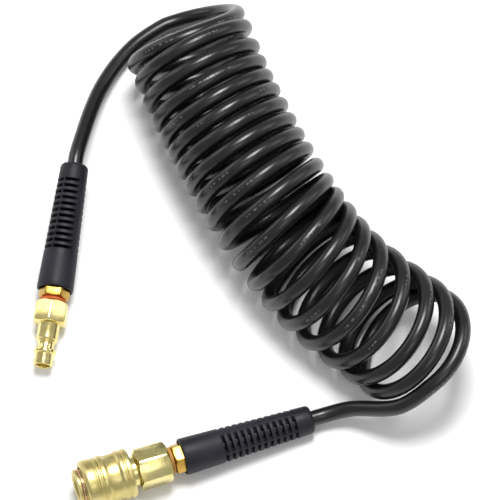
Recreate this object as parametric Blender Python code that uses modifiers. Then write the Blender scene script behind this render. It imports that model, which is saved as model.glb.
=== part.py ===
"""Coiled polyurethane air hose with a brass quick plug and a brass quick coupler.

The hose lies on the floor (Z = 0): a coil of about nineteen turns on its side, packed at
one end and leaning over at the other, with a straight tail at each end. The plug's tail
lies to the left of the coil, the coupler's tail in front of it, and the coupler's mouth
points to -X. Both fittings are built along their own axis: a parent empty stands at the
fitting end of the bend restrictor, with its +Z pointing out of the fitting.
"""
import bmesh
import bpy
from math import cos, floor, pi, radians, sin, sqrt, tau
from mathutils import Matrix, Vector

MM = 0.001

# ---- driving dimensions, in millimetres unless the name says otherwise ----
HOSE_RADIUS, HOSE_BORE_RADIUS = 4.0, 2.7
COIL_RADIUS = 30.0             # from the coil's middle to the middle of the tube
GAP = 0.3                      # between pieces that touch
RUNNING_GAP = 0.35             # between pieces that slide or turn on each other
FLOOR_GAP = 0.15

# Middle of the coil in plan, every third turn, from the plug's end to the coupler's end
SPINE_STEP = 3
SPINE = [(64.8, 175.9), (67.8, 137.9), (68.6, 102.6), (71.3, 73.8), (75.4, 43.7),
         (82.7, 10.8), (94.5, -21.3), (115.9, -56.2), (132.1, -80.5)]
LEAN_PACKED = 14.0             # degrees that a packed turn leans towards the coupler's end
LEAN_FIRST = 26.0              # further lean of the half turn before the first
LEAN_LOOSE = 31.3              # further lean of the loose turns
LEAN_LAST = 7.0                # further lean of the very last turn
YAW_PACKED = 5.0               # degrees that a packed turn's plane is turned in plan
YAW_LOOSE = 13.0               # further yaw of the loose turns
YAW_LAST = 7.7                 # further yaw of the last two turns
FIRST_TURN, LAST_TURN = -0.25, 19.36
TURN_POINTS = 24

# The part of the coil that stands as one fat tube, and its facets
SOLID_FIRST, SOLID_LAST = 0.5, 17.6
SOLID_SECTIONS, SOLID_SIDES = 18, 20
LOOSE_TURN = 18.3              # where the coupler's tail starts, with the last loose turn

# Where each fitting's axis starts in plan, and which way it points
PLUG_PLACE = (-37.4, 31.1)
PLUG_HEADING, PLUG_RISE = 243.3, -5.0
COUPLER_PLACE = (-3.9, -79.3)
COUPLER_HEADING, COUPLER_RISE = 180.0, 3.33

# Points of each tail between the coil and its bend restrictor, with the tube's middle
# this high above where it would lie on the floor
PLUG_TAIL = [(2.4, 107.6, 10.5), (11.5, 121.6, 7.0), (20.8, 133.5, 4.0), (32.8, 144.8, 1.6),
             (47.0, 153.9, 0.3)]
COUPLER_TAIL = [(103.8, -94.2, 20.9), (81.4, -81.6, 6.2)]
TAIL_POINT_SPACING = 9.0

# Bend restrictor: a pocket over the ferrule, and rows of slots from there to the tip
RESTRICTOR_LENGTH = 66.0
RESTRICTOR_TIP_RADIUS, RESTRICTOR_END_RADIUS = 7.2, 9.35
SLOT_ROWS, SLOT_WIDTH = 12, 1.8
TIP_TO_SLOTS, SLOTS_TO_POCKET = 9.9, 1.8
COVER_LENGTH = 2.6                 # how far it reaches over the swivel nut
THIN_RIB, WIDE_RIB = 4.0, 38.0     # degrees
PLUG_RIB_ROLL, COUPLER_RIB_ROLL = -61.0, 32.0      # of the thin ribs, from the fitting's +X

# Hose barb and ferrule, which start at the barb's flange
FLANGE_BACK, FLANGE_LENGTH = 5.0, 1.6
BARB_LENGTH, BARB_COUNT, BARB_PITCH, BARB_BITE = 11.2, 3, 3.0, 0.35
AIR_BORE_RADIUS = 1.3
FERRULE_LENGTH, FERRULE_WALL, CRIMP_DEPTH = 11.4, 0.9, 0.25
POCKET_DEPTH = 17.0

# Swivel nut on the barb's spigot, with its own thread, and the seal on that thread
SPIGOT_RADIUS, SPIGOT_LENGTH = 3.4, 9.0
SWIVEL_HEX, SWIVEL_HEX_LENGTH = 14.0, 7.0      # across the flats
THREAD_RADIUS, THREAD_LENGTH = 5.6, 9.7
CLIP_WIRE, CLIP_PLACE = 0.42, 6.2
SWIVEL_SEAL_WIRE, SWIVEL_SEAL_PLACE = 0.34, 2.65
THREAD_SEAL_LENGTH, THREAD_SEAL_WALL = 1.8, 0.8

# Quick plug, from the end of its hexagon: barrel, neck, collar and nose
PLUG_HEX, PLUG_HEX_LENGTH = 16.0, 11.5
PLUG_HEX_ROLL = 30.0           # a corner on top
COLLAR_RADIUS, BARREL_RADIUS, NECK_RADIUS, NOSE_RADIUS = 5.75, 5.5, 4.2, 4.8
BARREL_LENGTH, NECK_START, NECK_END, COLLAR_END, NOSE_END = 8.6, 10.0, 13.6, 15.5, 22.3
PLUG_BORE_RADIUS = 3.4

# Quick coupler's rear body, from the end of its hexagon: neck and thread
COUPLER_HEX, COUPLER_HEX_LENGTH = 19.0, 16.8
COUPLER_HEX_ROLL = 28.0
REAR_NECK_LENGTH, REAR_THREAD_LENGTH = 4.0, 6.4
CHAMBER_RADIUS, CHAMBER_WALL = 5.2, 1.2
BODY_SEAL_WIRE = 0.45

# Front body, from its rear face, with the socket that takes the plug's collar
PLUG_FIT = 0.4
SOCKET_WALL = 2.45
SEAT_START, SEAT_LENGTH, SEAT_RADIUS = 12.2, 1.4, 4.2
PLUG_SEAL_WIRE = 0.75
FRONT_BODY_LENGTH = 27.2
BALL_RADIUS, BALL_PLACE, BALL_COUNT = 1.5, 18.7, 4
SNAP_RING_WIRE, SNAP_RING_PLACE = 0.48, 24.7

# Pull-back sleeve round its spring
SLEEVE_SPRING_WIRE, SLEEVE_SPRING_TURNS = 0.6, 5
SLEEVE_WALL = 1.25
RAMP_DEPTH = 1.0

# Valve, and the spring behind it
VALVE_SPRING_WIRE, VALVE_SPRING_TURNS = 0.4, 6
VALVE_NOSE_FIT = 0.6

STEPS = 20                     # facets round a turned piece
FEW_STEPS = 16                 # and round a hidden or a slotted one

# ---- places and radii that follow from these, along the fittings' axes ----
NUT_END = GAP + SWIVEL_HEX_LENGTH
FITTING_START = NUT_END + THREAD_SEAL_LENGTH + 2 * GAP
THREAD_END = NUT_END + THREAD_LENGTH
FERRULE_START = FLANGE_BACK + GAP
FERRULE_RADIUS = HOSE_RADIUS + GAP + FERRULE_WALL
FEMALE_THREAD_RADIUS = THREAD_RADIUS + GAP
PLUG_HEX_END = FITTING_START + PLUG_HEX_LENGTH
COUPLER_HEX_END = FITTING_START + COUPLER_HEX_LENGTH
FRONT_START = COUPLER_HEX_END + REAR_NECK_LENGTH + GAP
REAR_THREAD_RADIUS = CHAMBER_RADIUS + CHAMBER_WALL
REAR_BODY_END = FRONT_START - GAP + REAR_THREAD_LENGTH
SOCKET_RADIUS = COLLAR_RADIUS + PLUG_FIT
TUBE_RADIUS = SOCKET_RADIUS + SOCKET_WALL
SPRING_RADIUS = TUBE_RADIUS + SLEEVE_SPRING_WIRE + 0.8
SLEEVE_FLANGE_RADIUS = SPRING_RADIUS + SLEEVE_SPRING_WIRE + 0.4
SLEEVE_BORE_RADIUS = SLEEVE_FLANGE_RADIUS + RUNNING_GAP
SLEEVE_RADIUS = SLEEVE_BORE_RADIUS + SLEEVE_WALL
SLEEVE_START = FRONT_START - 1.2


# ---- scene ----
for old in list(bpy.data.objects):
    bpy.data.objects.remove(old)


def collection(name):
    made = bpy.data.collections.new(name)
    bpy.context.scene.collection.children.link(made)
    return made


PARTS = collection("coiled_air_hose")
CUTTERS = collection("cutters")


def material(name, colour, roughness, metallic):
    made = bpy.data.materials.new(name)
    made.use_nodes = True
    shader = made.node_tree.nodes["Principled BSDF"]
    shader.inputs["Base Color"].default_value = (*colour, 1)
    shader.inputs["Roughness"].default_value = roughness
    shader.inputs["Metallic"].default_value = metallic
    return made


POLYURETHANE = material("black_polyurethane", (0.012, 0.012, 0.013), 0.28, 0)
SOFT_RUBBER = material("black_restrictor_rubber", (0.014, 0.015, 0.020), 0.6, 0)
PALE_BRASS = material("pale_brass", (0.83, 0.72, 0.42), 0.25, 1)
SATIN_BRASS = material("satin_brass", (0.80, 0.68, 0.40), 0.38, 1)
WARM_BRASS = material("warm_brass", (0.78, 0.52, 0.22), 0.3, 1)
COPPER = material("copper_wire", (0.80, 0.45, 0.30), 0.3, 1)
STEEL = material("bright_steel", (0.62, 0.62, 0.62), 0.25, 1)
NITRILE = material("black_nitrile", (0.02, 0.02, 0.02), 0.55, 0)
ORANGE_SEAL = material("orange_seal", (0.80, 0.16, 0.04), 0.5, 0)


# ---- modelling helpers ----
def add(name, data, finish, parent=None):
    """Links an object with its material into the parts."""
    made = bpy.data.objects.new(name, data)
    PARTS.objects.link(made)
    data.materials.append(finish)
    made.parent = parent
    return made


def add_cutter(name, data, parent=None):
    made = bpy.data.objects.new(name, data)
    CUTTERS.objects.link(made)
    made.hide_render = True
    made.display_type = 'WIRE'
    made.parent = parent
    return made


def axis_empty(name, place, heading, rise):
    """Stands at place with +Z along a heading and a rise in degrees, and +Y on its upper side."""
    level = cos(radians(rise))
    way = Vector((level * cos(radians(heading)), level * sin(radians(heading)), sin(radians(rise))))
    empty = bpy.data.objects.new(name, None)
    PARTS.objects.link(empty)
    empty.location = place * MM
    empty.rotation_mode = 'QUATERNION'
    empty.rotation_quaternion = way.to_track_quat('Z', 'Y')
    return empty


def local_empty(name, parent, location):
    empty = bpy.data.objects.new(name, None)
    PARTS.objects.link(empty)
    empty.parent = parent
    empty.location = location
    return empty


def shade(mesh):
    mesh.shade_smooth()
    mesh.set_sharp_from_angle(angle=radians(35))


def profile_mesh(name, outline):
    """A closed outline of (radius, height) points, outer side first from the top down."""
    points = [(r * MM, 0, z * MM) for r, z in outline]
    edges = [(i, (i + 1) % len(points)) for i in range(len(points))]
    mesh = bpy.data.meshes.new(name)
    mesh.from_pydata(points, edges, [])
    return mesh


def spin(thing, steps):
    screw = thing.modifiers.new("Turn", 'SCREW')
    screw.axis = 'Z'
    screw.angle = tau
    screw.steps = screw.render_steps = steps
    screw.use_merge_vertices = True
    screw.merge_threshold = 0.00001
    screw.use_smooth_shade = True
    return thing


def turned(name, outer, inner, finish, parent, steps=STEPS):
    """A ring-shaped turned piece: outer runs from the top down, inner from the bottom up."""
    return spin(add(name, profile_mesh(name, outer + inner), finish, parent), steps)


def cut(thing, cutter, name="Cut"):
    boolean = thing.modifiers.new(name, 'BOOLEAN')
    boolean.operation = 'DIFFERENCE'
    boolean.object = cutter
    boolean.solver = 'EXACT'


def hex_corner(flats):
    """The corners are rounded off a little inside the true corner radius."""
    return flats / sqrt(3) * 0.968


def cut_hexagon(thing, flats, bottom, top, parent, roll=0.0):
    """Six boxes outside the flats, one for each; without roll, two flats are level."""
    corner = hex_corner(flats)
    depth = corner
    width = 2 * (sqrt(corner ** 2 - (flats / 2) ** 2) + 0.2)
    mesh = bpy.data.meshes.new(thing.name + "_flats")
    shape = bmesh.new()
    for i in range(6):
        turn = Matrix.Rotation(radians(roll + 30 + 60 * i), 4, 'Z')
        middle = Vector((flats / 2 + depth / 2, 0, (bottom + top) / 2)) * MM
        size = Matrix.Diagonal((depth * MM, width * MM, (top - bottom) * MM, 1))
        bmesh.ops.create_cube(shape, size=1, matrix=turn @ Matrix.Translation(middle) @ size)
    shape.to_mesh(mesh)
    shape.free()
    cut(thing, add_cutter(thing.name + "_flats", mesh, parent), "Flats")


def hexagon_outline(flats, bottom, top, chamfer):
    """Outer side of a hexagon section with turned chamfers, from the top down."""
    corner, rim = hex_corner(flats), flats / 2 - 0.25
    return [(rim, top), (corner, top - chamfer), (corner, bottom + chamfer), (rim, bottom)]


def o_ring(name, ring_radius, wire_radius, height, finish, parent, around=16, section=6):
    """A torus on the fitting's axis."""
    bpy.ops.mesh.primitive_torus_add(major_segments=around, minor_segments=section,
                                     major_radius=ring_radius * MM, minor_radius=wire_radius * MM)
    ring = bpy.context.object
    mesh = ring.data
    bpy.data.objects.remove(ring)
    mesh.name = name
    shade(mesh)
    made = add(name, mesh, finish, parent)
    made.location = (0, 0, height * MM)
    return made


def tube_curve(name, points, radius, resolution):
    """A POLY curve with a round section and filled ends, through points in metres."""
    curve = bpy.data.curves.new(name, 'CURVE')
    curve.dimensions = '3D'
    curve.bevel_depth = radius * MM
    curve.bevel_resolution = resolution
    curve.use_fill_caps = True
    spline = curve.splines.new('POLY')
    spline.points.add(len(points) - 1)
    for point, place in zip(spline.points, points):
        point.co = (*place, 1)
    return curve


def curve_to_mesh(thing):
    """Replaces a curve object with a welded mesh of the same name."""
    evaluated = thing.evaluated_get(bpy.context.evaluated_depsgraph_get())
    mesh = bpy.data.meshes.new_from_object(evaluated)
    shape = bmesh.new()
    shape.from_mesh(mesh)
    bmesh.ops.remove_doubles(shape, verts=shape.verts, dist=0.00001)
    shape.to_mesh(mesh)
    shape.free()
    name, place, parent = thing.name, thing.matrix_world.copy(), thing.parent
    bpy.data.objects.remove(thing)
    made = bpy.data.objects.new(name, mesh)
    PARTS.objects.link(made)
    made.parent = parent
    made.matrix_world = place
    shade(mesh)
    return made


def compression_spring(name, ring_radius, wire_radius, bottom, top, turns, parent):
    """A coil spring on the fitting's axis, with its wire inside the two heights."""
    steps = 10 * turns
    low, high = bottom + wire_radius, top - wire_radius
    points = []
    for i in range(steps + 1):
        angle = tau * i / 10
        points.append(Vector((ring_radius * cos(angle), ring_radius * sin(angle),
                              low + (high - low) * i / steps)) * MM)
    return add(name, tube_curve(name, points, wire_radius, 1), STEEL, parent)


# ---- the hose's route, in millimetres ----
def ease(start, end, x):
    t = min(max((x - start) / (end - start), 0), 1)
    return t * t * (3 - 2 * t)


def lean(turn):
    """How far a turn's plane tips from upright, in radians."""
    return radians(LEAN_PACKED + LEAN_FIRST * (1 - ease(-0.4, 0.8, turn))
                   + LEAN_LOOSE * ease(8.5, 17.5, turn) + LEAN_LAST * ease(18.6, 19.5, turn))


def yaw(turn):
    """How far a turn's plane is turned in plan from square to the spine, in radians."""
    return radians(YAW_PACKED + YAW_LOOSE * ease(9, 15, turn) + YAW_LAST * ease(17.5, 19.3, turn))


def spine(turn):
    """Middle of the coil in plan, a smooth curve through the points of SPINE."""
    place = turn / SPINE_STEP + 1
    i = min(max(floor(place), 1), len(SPINE) - 3)
    t = place - i
    a, b, c, d = [Vector(p) for p in SPINE[i - 1:i + 3]]
    return 0.5 * (2 * b + (c - a) * t + (2 * a - 5 * b + 4 * c - d) * t ** 2
                  + (3 * b - a - 3 * c + d) * t ** 3)


def turn_plane(turn):
    """Middle of a turn, and the directions across it and up it."""
    middle = spine(turn)
    along = (spine(turn + 0.05) - spine(turn - 0.05)).normalized()
    along.rotate(Matrix.Rotation(yaw(turn), 2))
    tip = lean(turn)
    across = Vector((-along.y, along.x, 0))
    upwards = Vector((along.x * sin(tip), along.y * sin(tip), cos(tip)))
    height = COIL_RADIUS * cos(tip) + HOSE_RADIUS
    return Vector((middle.x, middle.y, height)), across, upwards


def coil_point(turn, radius=COIL_RADIUS, angle=None):
    middle, across, upwards = turn_plane(turn)
    angle = tau * turn if angle is None else angle
    return middle + radius * (cos(angle) * across + sin(angle) * upwards)


def coil_points(first, last):
    steps = round((last - first) * TURN_POINTS)
    return [coil_point(first + (last - first) * i / steps) for i in range(steps + 1)]


def smooth_route(points, spacing):
    """Points along a centripetal Catmull-Rom curve through the given ones."""
    points = [2 * points[0] - points[1], *points, 2 * points[-1] - points[-2]]
    route = []
    for a, b, c, d in zip(points, points[1:], points[2:], points[3:]):
        t1 = (b - a).length ** 0.5
        t2 = t1 + (c - b).length ** 0.5
        t3 = t2 + (d - c).length ** 0.5
        steps = max(1, round((c - b).length / spacing))
        for i in range(steps):
            t = t1 + (t2 - t1) * i / steps
            first = a.lerp(b, t / t1)
            second = b.lerp(c, (t - t1) / (t2 - t1))
            third = c.lerp(d, (t - t2) / (t3 - t2))
            route.append(first.lerp(second, t / t2).lerp(
                second.lerp(third, (t - t1) / (t3 - t1)), (t - t1) / (t2 - t1)))
    return route + [points[-2]]


# ---- hose ----
def coil_solid():
    """The coil as one fat tube of its outer size: a loft through the planes of its turns."""
    outer = COIL_RADIUS + HOSE_RADIUS
    shape = bmesh.new()
    rings = []
    for i in range(SOLID_SECTIONS):
        turn = SOLID_FIRST + (SOLID_LAST - SOLID_FIRST) * i / (SOLID_SECTIONS - 1)
        rings.append([shape.verts.new(coil_point(turn, outer, tau * k / SOLID_SIDES) * MM)
                      for k in range(SOLID_SIDES)])
    for near, far in zip(rings, rings[1:]):
        for k in range(SOLID_SIDES):
            after = (k + 1) % SOLID_SIDES
            shape.faces.new((near[k], near[after], far[after], far[k]))
    shape.faces.new(reversed(rings[0]))
    shape.faces.new(rings[-1])
    bmesh.ops.recalc_face_normals(shape, faces=shape.faces)
    mesh = bpy.data.meshes.new("hose_coil")
    shape.to_mesh(mesh)
    shape.free()
    shade(mesh)
    return add("hose_coil", mesh, POLYURETHANE)


def bored_tail(name, points, fitting):
    """A tail of the hose, opened at its end for the barb."""
    curve = add(name, tube_curve(name, [p * MM for p in points], HOSE_RADIUS, 2), POLYURETHANE)
    tail = curve_to_mesh(curve)
    deep, past = BARB_LENGTH + 0.7, FERRULE_START + 1.5
    bpy.ops.mesh.primitive_cylinder_add(vertices=FEW_STEPS, radius=HOSE_BORE_RADIUS * MM,
                                        depth=(deep + past) * MM)
    bore = bpy.context.object
    mesh = bore.data
    bpy.data.objects.remove(bore)
    cutter = add_cutter(name + "_bore", mesh, fitting)
    cutter.location = (0, 0, (-FERRULE_START + (past - deep) / 2) * MM)
    cut(tail, cutter, "Bore")


def along_axis(fitting, distance):
    """A point on a fitting's axis, in millimetres."""
    way = fitting.rotation_quaternion @ Vector((0, 0, 1))
    return fitting.location / MM + way * distance


def raised(points):
    """Points of a tail at the height of the tube's middle."""
    return [Vector((x, y, z + HOSE_RADIUS)) for x, y, z in points]


def hose(plug_axis, coupler_axis):
    coil_solid()
    straight = [FERRULE_START, POCKET_DEPTH, 0.6 * RESTRICTOR_LENGTH, RESTRICTOR_LENGTH,
                RESTRICTOR_LENGTH + 1.5 * HOSE_RADIUS]
    start = [along_axis(plug_axis, -s) for s in straight]
    first_arc = coil_points(FIRST_TURN, 0.0)
    bored_tail("hose_tail_plug", smooth_route(start + raised(PLUG_TAIL) + first_arc,
                                              TAIL_POINT_SPACING), plug_axis)
    end = [along_axis(coupler_axis, -s) for s in reversed(straight)]
    last_arc = coil_points(LOOSE_TURN, LAST_TURN)
    bored_tail("hose_tail_coupler", smooth_route(last_arc + raised(COUPLER_TAIL) + end,
                                                 TAIL_POINT_SPACING), coupler_axis)


# ---- bend restrictor, barb and ferrule, the same at both ends ----
def slot_cutters(name, parent):
    """Wedges that open four windows in each row, with two thin and two wide ribs between."""
    window = 90 - (THIN_RIB + WIDE_RIB) / 2
    first, last = -RESTRICTOR_LENGTH + TIP_TO_SLOTS, -POCKET_DEPTH - SLOTS_TO_POCKET
    near, far = HOSE_RADIUS - 1, RESTRICTOR_END_RADIUS + 2.65
    shape = bmesh.new()
    for row in range(SLOT_ROWS):
        bottom = first + (last - first) * row / (SLOT_ROWS - 1) - SLOT_WIDTH / 2
        for start in (THIN_RIB / 2, 90 + WIDE_RIB / 2, 180 + THIN_RIB / 2, 270 + WIDE_RIB / 2):
            a, b = radians(start), radians(start + window)
            corners = [(near, a), (far, a), (far, b), (near, b)]
            floor_face = shape.faces.new([
                shape.verts.new(Vector((r * cos(t), r * sin(t), bottom)) * MM) for r, t in corners])
            swept = bmesh.ops.extrude_face_region(shape, geom=[floor_face])
            risen = [v for v in swept["geom"] if isinstance(v, bmesh.types.BMVert)]
            bmesh.ops.translate(shape, verts=risen, vec=(0, 0, SLOT_WIDTH * MM))
    bmesh.ops.recalc_face_normals(shape, faces=shape.faces)
    mesh = bpy.data.meshes.new(name)
    shape.to_mesh(mesh)
    shape.free()
    return add_cutter(name, mesh, parent)


def bend_restrictor(end, axis, rib_roll):
    tip, base, length = RESTRICTOR_TIP_RADIUS, RESTRICTOR_END_RADIUS, RESTRICTOR_LENGTH
    outer = [(base - 0.3, COVER_LENGTH), (base, COVER_LENGTH - 0.5), (base, -0.8),
             (tip, -length + 1.2), (tip - 0.4, -length + 0.35), (tip - 1.3, -length)]
    bore, pocket = HOSE_RADIUS + GAP, FERRULE_RADIUS + GAP
    recess = hex_corner(SWIVEL_HEX) + RUNNING_GAP
    inner = [(bore, -length), (bore, -POCKET_DEPTH), (pocket, -POCKET_DEPTH), (pocket, -0.1),
             (recess, -0.1), (recess, COVER_LENGTH)]
    sleeve = turned(end + "_bend_restrictor", outer, inner, SOFT_RUBBER, axis, FEW_STEPS)
    slots = slot_cutters(end + "_restrictor_slots", axis)
    slots.rotation_euler = (0, 0, radians(rib_roll))
    cut(sleeve, slots, "Slots")


def ring_groove(radius, depth, place, half_width):
    """The four points of a groove in an outer side, from the top down."""
    return [(radius, place + half_width), (radius - depth, place + half_width),
            (radius - depth, place - half_width), (radius, place - half_width)]


def hose_barb(end, axis):
    """Stem with three barbs in the hose, a flange, and the spigot that the swivel nut turns on."""
    spigot, stem = SPIGOT_RADIUS, HOSE_BORE_RADIUS - 2 * BARB_BITE
    flange_front = FLANGE_LENGTH - FLANGE_BACK
    outer = [(spigot - 0.3, SPIGOT_LENGTH), (spigot, SPIGOT_LENGTH - 0.3),
             *ring_groove(spigot, CLIP_WIRE + 0.23, CLIP_PLACE, CLIP_WIRE + 0.28),
             *ring_groove(spigot, SWIVEL_SEAL_WIRE + 0.26, SWIVEL_SEAL_PLACE, SWIVEL_SEAL_WIRE + 0.31),
             (spigot, flange_front), (FERRULE_RADIUS, flange_front),
             (FERRULE_RADIUS, -FLANGE_BACK), (stem + 0.2, -FLANGE_BACK)]
    for i in range(BARB_COUNT):
        step = -FLANGE_BACK - 2.0 - BARB_PITCH * i
        outer += [(stem, step), (stem + BARB_BITE, step - 0.2), (stem, step - 2.6)]
    end_place = -FLANGE_BACK - BARB_LENGTH
    outer += [(stem - 0.1, end_place)]
    inner = [(AIR_BORE_RADIUS, end_place), (AIR_BORE_RADIUS, SPIGOT_LENGTH)]
    turned(end + "_hose_barb", outer, inner, WARM_BRASS, axis, FEW_STEPS)


def ferrule(end, axis):
    """Crimped brass sleeve round the hose, with two crimp grooves."""
    rim, crimp = FERRULE_RADIUS, FERRULE_RADIUS - CRIMP_DEPTH
    outer = [(rim, -FERRULE_START)]
    for start in (2.4, 6.6):
        top = -FERRULE_START - start
        outer += [(rim, top), (crimp, top - 0.6), (crimp, top - 2.0), (rim, top - 2.6)]
    back = -FERRULE_START - FERRULE_LENGTH
    outer += [(rim, back)]
    bore = HOSE_RADIUS + GAP
    turned(end + "_ferrule", outer, [(bore, back), (bore, -FERRULE_START)], WARM_BRASS, axis,
           FEW_STEPS)


def swivel_nut(end, axis):
    """Hexagon that turns on the barb's spigot, with a threaded spigot of its own."""
    outer = [(THREAD_RADIUS - 0.3, THREAD_END), (THREAD_RADIUS, THREAD_END - 0.3),
             (THREAD_RADIUS, NUT_END + 0.2), *hexagon_outline(SWIVEL_HEX, GAP, NUT_END, 0.6)]
    bore, groove = SPIGOT_RADIUS + GAP, SPIGOT_RADIUS + 1.0
    clip_half, bore_end = CLIP_WIRE + 0.28, SPIGOT_LENGTH + 0.5
    inner = [(bore, GAP), (bore, CLIP_PLACE - clip_half), (groove, CLIP_PLACE - clip_half),
             (groove, CLIP_PLACE + clip_half), (bore, CLIP_PLACE + clip_half), (bore, bore_end),
             (bore - 1.2, bore_end + 0.8), (bore - 1.2, THREAD_END)]
    nut = turned(end + "_swivel_nut", outer, inner, WARM_BRASS, axis)
    cut_hexagon(nut, SWIVEL_HEX, GAP - 0.5, NUT_END + 0.1, axis)
    o_ring(end + "_swivel_clip", SPIGOT_RADIUS + 0.18, CLIP_WIRE, CLIP_PLACE, STEEL, axis)
    o_ring(end + "_swivel_seal", SPIGOT_RADIUS - 0.16, SWIVEL_SEAL_WIRE, SWIVEL_SEAL_PLACE,
           NITRILE, axis)


def thread_seal(end, axis):
    bore, rim = FEMALE_THREAD_RADIUS, FEMALE_THREAD_RADIUS + THREAD_SEAL_WALL
    bottom, top = NUT_END + GAP, FITTING_START - GAP
    outer = [(rim - 0.3, top), (rim, top - 0.3), (rim, bottom + 0.3), (rim - 0.3, bottom)]
    turned(end + "_thread_seal", outer, [(bore, bottom), (bore, top)], ORANGE_SEAL, axis, FEW_STEPS)


def hose_end_pieces(end, axis, rib_roll):
    bend_restrictor(end, axis, rib_roll)
    hose_barb(end, axis)
    ferrule(end, axis)
    swivel_nut(end, axis)
    thread_seal(end, axis)


# ---- quick plug ----
def plug_nipple(axis):
    """Hexagon, barrel, locking neck, collar and nose, with the air bore through them."""
    start = PLUG_HEX_END
    barrel_end, neck, neck_end = start + BARREL_LENGTH, start + NECK_START, start + NECK_END
    collar_end, nose_end = start + COLLAR_END, start + NOSE_END
    outer = [(NOSE_RADIUS - 0.3, nose_end), (NOSE_RADIUS, nose_end - 0.3),
             (NOSE_RADIUS, collar_end + 0.9), (NOSE_RADIUS + 0.4, collar_end + 0.5),
             (COLLAR_RADIUS, collar_end), (COLLAR_RADIUS, neck_end + 0.7),
             (COLLAR_RADIUS - 0.45, neck_end + 0.2), (NECK_RADIUS, neck_end), (NECK_RADIUS, neck),
             (BARREL_RADIUS - 0.6, neck - 0.2), (BARREL_RADIUS - 0.6, barrel_end + 0.1),
             (BARREL_RADIUS - 0.3, barrel_end), (BARREL_RADIUS, barrel_end - 0.3),
             (BARREL_RADIUS, start + 0.2), *hexagon_outline(PLUG_HEX, FITTING_START, start, 0.75)]
    bore, thread = PLUG_BORE_RADIUS, FEMALE_THREAD_RADIUS
    inner = [(thread, FITTING_START), (thread, THREAD_END + 0.5), (bore, THREAD_END + 1.5),
             (bore, nose_end - 0.3), (bore + 0.2, nose_end)]
    plug = turned("plug_nipple", outer, inner, PALE_BRASS, axis)
    cut_hexagon(plug, PLUG_HEX, FITTING_START - 0.2, start + 0.1, axis, PLUG_HEX_ROLL)


# ---- quick coupler ----
def coupler_rear_body(axis):
    """Hexagon with the female thread, the valve's chamber and the thread for the front body."""
    thread, neck, neck_end = REAR_THREAD_RADIUS, REAR_THREAD_RADIUS + 1.3, FRONT_START - GAP
    outer = [(thread - 0.2, REAR_BODY_END), (thread, REAR_BODY_END - 0.2), (thread, neck_end),
             (neck, neck_end), (neck, COUPLER_HEX_END + 0.2),
             *hexagon_outline(COUPLER_HEX, FITTING_START, COUPLER_HEX_END, 0.9)]
    female, port, chamber = FEMALE_THREAD_RADIUS, 3.2, CHAMBER_RADIUS
    inner = [(female, FITTING_START), (female, THREAD_END + 1), (port, THREAD_END + 1),
             (port, THREAD_END + 3), (chamber, THREAD_END + 3), (chamber, REAR_BODY_END)]
    body = turned("coupler_rear_body", outer, inner, PALE_BRASS, axis)
    cut_hexagon(body, COUPLER_HEX, FITTING_START - 0.2, COUPLER_HEX_END + 0.1, axis,
                COUPLER_HEX_ROLL)


def coupler_front_body(axis):
    """Tube with the plug's socket, the seal's groove, the valve seat and the balls' holes."""
    start, tube, socket = FRONT_START, TUBE_RADIUS, SOCKET_RADIUS
    end = start + FRONT_BODY_LENGTH
    ring_back, ring_front = start + SNAP_RING_PLACE - 0.9, start + SNAP_RING_PLACE + 1.0
    outer = [(tube + 0.2, end), (tube + 0.6, end - 0.4), (tube + 0.6, ring_front),
             (tube - 0.4, ring_front), (tube - 0.4, ring_back), (tube, ring_back),
             (tube, start + 2.0), (SLEEVE_FLANGE_RADIUS, start + 2.0), (SLEEVE_FLANGE_RADIUS, start),
             (REAR_THREAD_RADIUS + 1.6, start)]
    thread, counterbore = REAR_THREAD_RADIUS + GAP, REAR_BODY_END + 2 * BODY_SEAL_WIRE + 0.3
    seat, groove = start + SEAT_START, start + SEAT_START + SEAT_LENGTH
    groove_end = groove + 2 * PLUG_SEAL_WIRE + 0.7
    inner = [(thread, start), (thread, counterbore), (CHAMBER_RADIUS, counterbore),
             (CHAMBER_RADIUS, seat), (SEAT_RADIUS, seat), (SEAT_RADIUS, groove),
             (socket + 0.75, groove), (socket + 0.75, groove_end), (socket, groove_end),
             (socket, end - 0.6), (socket + 0.55, end)]
    body = turned("coupler_front_body", outer, inner, SATIN_BRASS, axis)
    shape = bmesh.new()
    for i in range(BALL_COUNT):
        turn = Matrix.Rotation(tau * (i + 0.5) / BALL_COUNT, 4, 'Z')
        middle = ((socket + tube) / 2 * MM, 0, (start + BALL_PLACE) * MM)
        lay = Matrix.Translation(middle) @ Matrix.Rotation(pi / 2, 4, 'Y')
        hole = (BALL_RADIUS + RUNNING_GAP) * MM
        bmesh.ops.create_cone(shape, cap_ends=True, segments=8, radius1=hole, radius2=hole,
                              depth=2 * SOCKET_WALL * MM, matrix=turn @ lay)
    mesh = bpy.data.meshes.new("ball_holes")
    shape.to_mesh(mesh)
    shape.free()
    cut(body, add_cutter("ball_holes", mesh, axis), "Ball_holes")


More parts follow.
